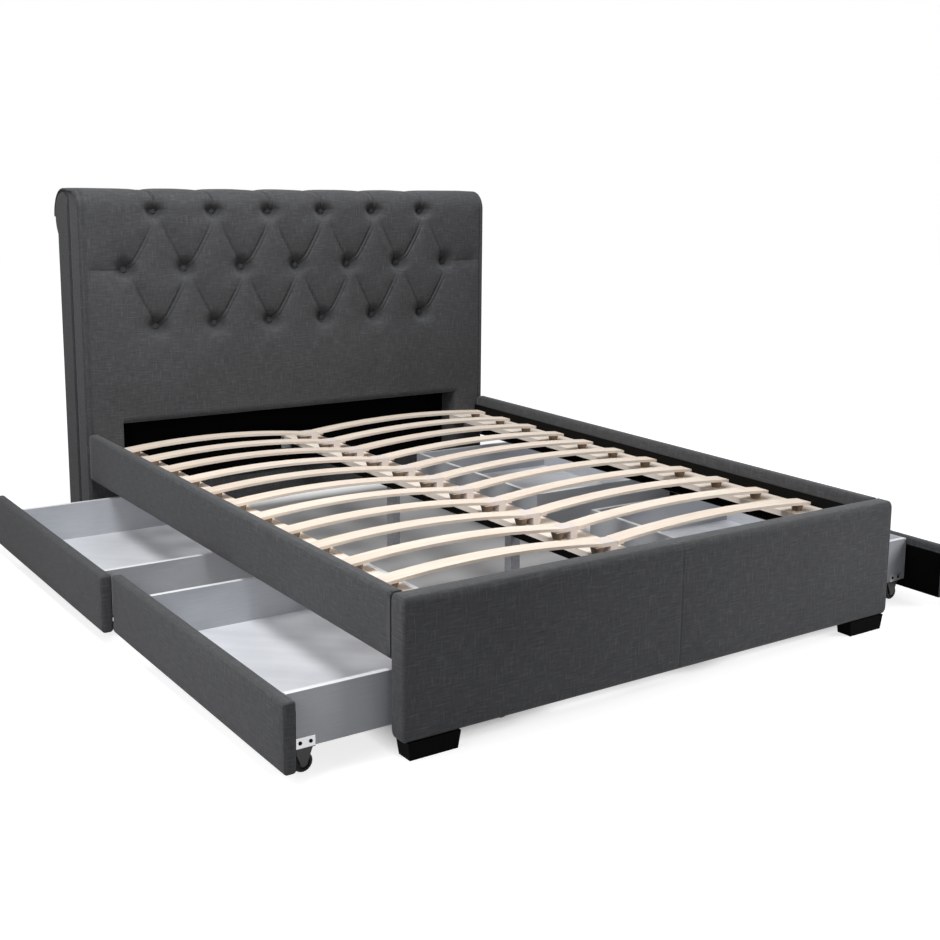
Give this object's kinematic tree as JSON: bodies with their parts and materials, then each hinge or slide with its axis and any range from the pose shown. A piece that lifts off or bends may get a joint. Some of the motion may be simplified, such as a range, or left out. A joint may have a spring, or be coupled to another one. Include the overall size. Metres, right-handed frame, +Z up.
{
  "type": "platform bed with storage drawers",
  "caption": "Upholstered platform bed with a button-tufted scroll headboard, sprung slats and wheeled storage drawers that roll out under the side rails.",
  "frame": {"origin": "on the floor, under the middle of the bed with its drawers partly open", "axes": "+Z up, +Y from the foot to the head, +X to the right seen from the foot"},
  "size_m": [2.21, 2.376, 1.2],
  "materials": {
    "charcoal_cloth": "woven linen look",
    "black_lining": "thin black lining",
    "black_wood": "black satin",
    "black_steel": "black satin",
    "grey_steel": "grey satin",
    "pale_wood": "bare birch ply",
    "brown_holder": "matte",
    "pale_plastic": "matte",
    "grey_laminate": "silver grey laminate",
    "zinc": "zinc plated",
    "black_plastic": "matte"
  },
  "bodies": {
    "bed_frame": {"headboard_core": "charcoal_cloth", "headboard_pad": "charcoal_cloth", "headboard_buttons": "charcoal_cloth", "headboard_end_left": "charcoal_cloth", "headboard_end_right": "charcoal_cloth", "headboard_back_panel": "black_lining", "headboard_lower_panel": "black_lining", "headboard_legs": "black_wood", "footboard": "charcoal_cloth", "front_feet": "black_wood", "side_rail_left": "charcoal_cloth", "side_rail_right": "charcoal_cloth", "rail_ledge_left": "black_steel", "rail_ledge_right": "black_steel", "slat_strip_left": "pale_wood", "slat_strip_centre": "pale_wood", "slat_strip_right": "pale_wood", "slats_left": "pale_wood", "slats_right": "pale_wood", "slat_holders": "brown_holder", "slat_caps": "pale_plastic", "centre_beam": "black_steel", "beam_hangers": "zinc", "centre_legs": "grey_steel", "centre_leg_pads": "black_plastic", "corner_brackets": "zinc", "corner_bolts": "zinc"},
    "drawer_left_foot": {"drawer_left_foot_front": "charcoal_cloth", "drawer_left_foot_side_foot": "grey_laminate", "drawer_left_foot_side_head": "grey_laminate", "drawer_left_foot_back": "grey_laminate", "drawer_left_foot_bottom": "grey_laminate", "drawer_left_foot_brackets": "zinc"},
    "drawer_left_foot_wheels_outer": {"drawer_left_foot_wheels_outer": "black_plastic"},
    "drawer_left_foot_wheels_inner": {"drawer_left_foot_wheels_inner": "black_plastic"},
    "drawer_left_head": {"drawer_left_head_front": "charcoal_cloth", "drawer_left_head_side_foot": "grey_laminate", "drawer_left_head_side_head": "grey_laminate", "drawer_left_head_back": "grey_laminate", "drawer_left_head_bottom": "grey_laminate", "drawer_left_head_brackets": "zinc"},
    "drawer_left_head_wheels_outer": {"drawer_left_head_wheels_outer": "black_plastic"},
    "drawer_left_head_wheels_inner": {"drawer_left_head_wheels_inner": "black_plastic"},
    "drawer_right_foot": {"drawer_right_foot_front": "charcoal_cloth", "drawer_right_foot_side_foot": "grey_laminate", "drawer_right_foot_side_head": "grey_laminate", "drawer_right_foot_back": "grey_laminate", "drawer_right_foot_bottom": "grey_laminate", "drawer_right_foot_brackets": "zinc"},
    "drawer_right_foot_wheels_outer": {"drawer_right_foot_wheels_outer": "black_plastic"},
    "drawer_right_foot_wheels_inner": {"drawer_right_foot_wheels_inner": "black_plastic"},
    "drawer_right_head": {"drawer_right_head_front": "charcoal_cloth", "drawer_right_head_side_foot": "grey_laminate", "drawer_right_head_side_head": "grey_laminate", "drawer_right_head_back": "grey_laminate", "drawer_right_head_bottom": "grey_laminate", "drawer_right_head_brackets": "zinc"},
    "drawer_right_head_wheels_outer": {"drawer_right_head_wheels_outer": "black_plastic"},
    "drawer_right_head_wheels_inner": {"drawer_right_head_wheels_inner": "black_plastic"}
  },
  "joints": [
    {"name": "drawer_left_foot_slide", "type": "slide", "parent": "bed_frame", "child": "drawer_left_foot", "axis": [-1, 0, 0], "range_m": [-0.242, 0.318]},
    {"name": "drawer_left_foot_wheels_outer_spin", "type": "hinge", "parent": "drawer_left_foot", "child": "drawer_left_foot_wheels_outer", "pos_m": [-1.004, -0.712, 0.023], "axis": [0, 1, 0], "continuous": true},
    {"name": "drawer_left_foot_wheels_inner_spin", "type": "hinge", "parent": "drawer_left_foot", "child": "drawer_left_foot_wheels_inner", "pos_m": [-0.482, -0.712, 0.023], "axis": [0, 1, 0], "continuous": true},
    {"name": "drawer_left_head_slide", "type": "slide", "parent": "bed_frame", "child": "drawer_left_head", "axis": [-1, 0, 0], "range_m": [-0.269, 0.291]},
    {"name": "drawer_left_head_wheels_outer_spin", "type": "hinge", "parent": "drawer_left_head", "child": "drawer_left_head_wheels_outer", "pos_m": [-1.031, 0.35, 0.023], "axis": [0, 1, 0], "continuous": true},
    {"name": "drawer_left_head_wheels_inner_spin", "type": "hinge", "parent": "drawer_left_head", "child": "drawer_left_head_wheels_inner", "pos_m": [-0.509, 0.35, 0.023], "axis": [0, 1, 0], "continuous": true},
    {"name": "drawer_right_foot_slide", "type": "slide", "parent": "bed_frame", "child": "drawer_right_foot", "axis": [1, 0, 0], "range_m": [-0.269, 0.291]},
    {"name": "drawer_right_foot_wheels_outer_spin", "type": "hinge", "parent": "drawer_right_foot", "child": "drawer_right_foot_wheels_outer", "pos_m": [1.031, -0.633, 0.023], "axis": [0, 1, 0], "continuous": true},
    {"name": "drawer_right_foot_wheels_inner_spin", "type": "hinge", "parent": "drawer_right_foot", "child": "drawer_right_foot_wheels_inner", "pos_m": [0.509, -0.633, 0.023], "axis": [0, 1, 0], "continuous": true},
    {"name": "drawer_right_head_slide", "type": "slide", "parent": "bed_frame", "child": "drawer_right_head", "axis": [1, 0, 0], "range_m": [-0.242, 0.318]},
    {"name": "drawer_right_head_wheels_outer_spin", "type": "hinge", "parent": "drawer_right_head", "child": "drawer_right_head_wheels_outer", "pos_m": [1.004, 0.429, 0.023], "axis": [0, 1, 0], "continuous": true},
    {"name": "drawer_right_head_wheels_inner_spin", "type": "hinge", "parent": "drawer_right_head", "child": "drawer_right_head_wheels_inner", "pos_m": [0.482, 0.429, 0.023], "axis": [0, 1, 0], "continuous": true}
  ],
  "couplings": [
    {"joint": "drawer_left_foot_wheels_outer_spin", "follows": "drawer_left_foot_slide", "rad_per_m": -43.478},
    {"joint": "drawer_left_foot_wheels_inner_spin", "follows": "drawer_left_foot_slide", "rad_per_m": -43.478},
    {"joint": "drawer_left_head_wheels_outer_spin", "follows": "drawer_left_head_slide", "rad_per_m": -43.478},
    {"joint": "drawer_left_head_wheels_inner_spin", "follows": "drawer_left_head_slide", "rad_per_m": -43.478},
    {"joint": "drawer_right_foot_wheels_outer_spin", "follows": "drawer_right_foot_slide", "rad_per_m": 43.478},
    {"joint": "drawer_right_foot_wheels_inner_spin", "follows": "drawer_right_foot_slide", "rad_per_m": 43.478},
    {"joint": "drawer_right_head_wheels_outer_spin", "follows": "drawer_right_head_slide", "rad_per_m": 43.478},
    {"joint": "drawer_right_head_wheels_inner_spin", "follows": "drawer_right_head_slide", "rad_per_m": 43.478}
  ]
}
